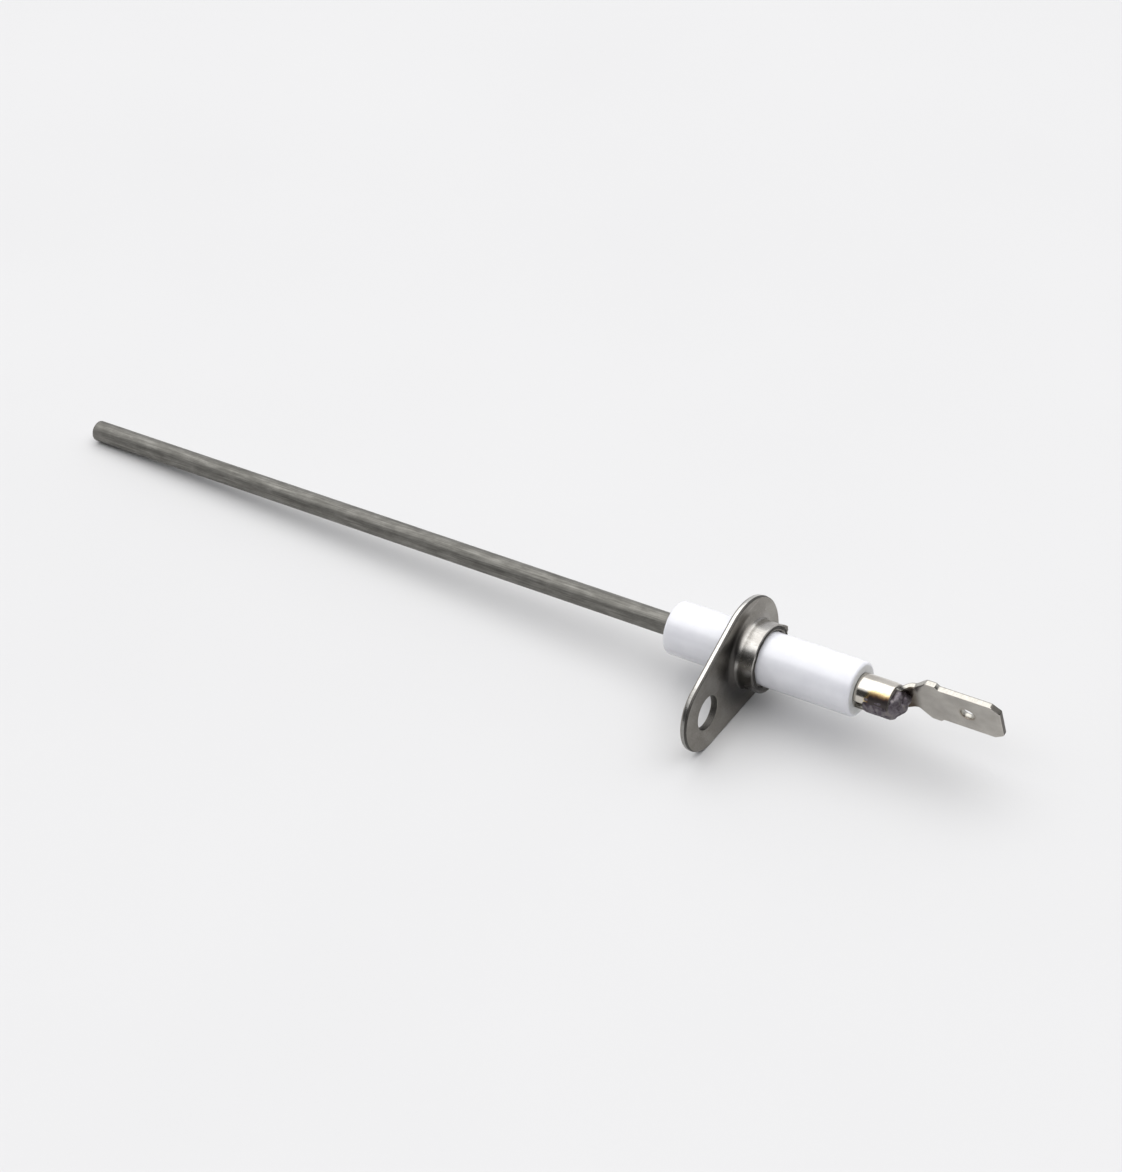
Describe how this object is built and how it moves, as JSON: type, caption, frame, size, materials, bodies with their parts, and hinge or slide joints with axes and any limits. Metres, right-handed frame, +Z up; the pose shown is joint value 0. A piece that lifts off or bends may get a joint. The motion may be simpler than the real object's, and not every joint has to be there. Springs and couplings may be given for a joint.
{
  "type": "ignition electrode",
  "caption": "Straight metal electrode rod cemented in a white ceramic tube, with a teardrop screw-on mounting flange and a flat push-on terminal tab.",
  "frame": {"origin": "on the electrode axis, in the plane of the flange's mounting face", "axes": "+X along the electrode axis from the mounting face to the terminal, so the tip points to -X; +Z up with the flange's straight lower flank level, as the part lies on a bench; the screw hole is on the -Y side"},
  "size_m": [0.1447, 0.0231, 0.0148],
  "materials": {
    "rod_alloy": "satin, drawn wire with fine lengthwise lines",
    "white_ceramic": "white alumina with a soft glaze",
    "flange_steel": "dull stainless sheet with bright cut edges",
    "cement": "matt refractory cement",
    "plated_steel": "nickel-plated sheet, heat-tinted near the weld",
    "burnt_weld": "dark oxidised weld metal"
  },
  "bodies": {
    "root": {"electrode_rod": "rod_alloy", "ceramic_insulator": "white_ceramic", "mounting_flange": "flange_steel", "collar_cement": "cement", "front_cement_seal": "cement", "rear_cement_seal": "cement", "terminal_tab": "plated_steel", "terminal_weld": "burnt_weld"}
  },
  "joints": []
}
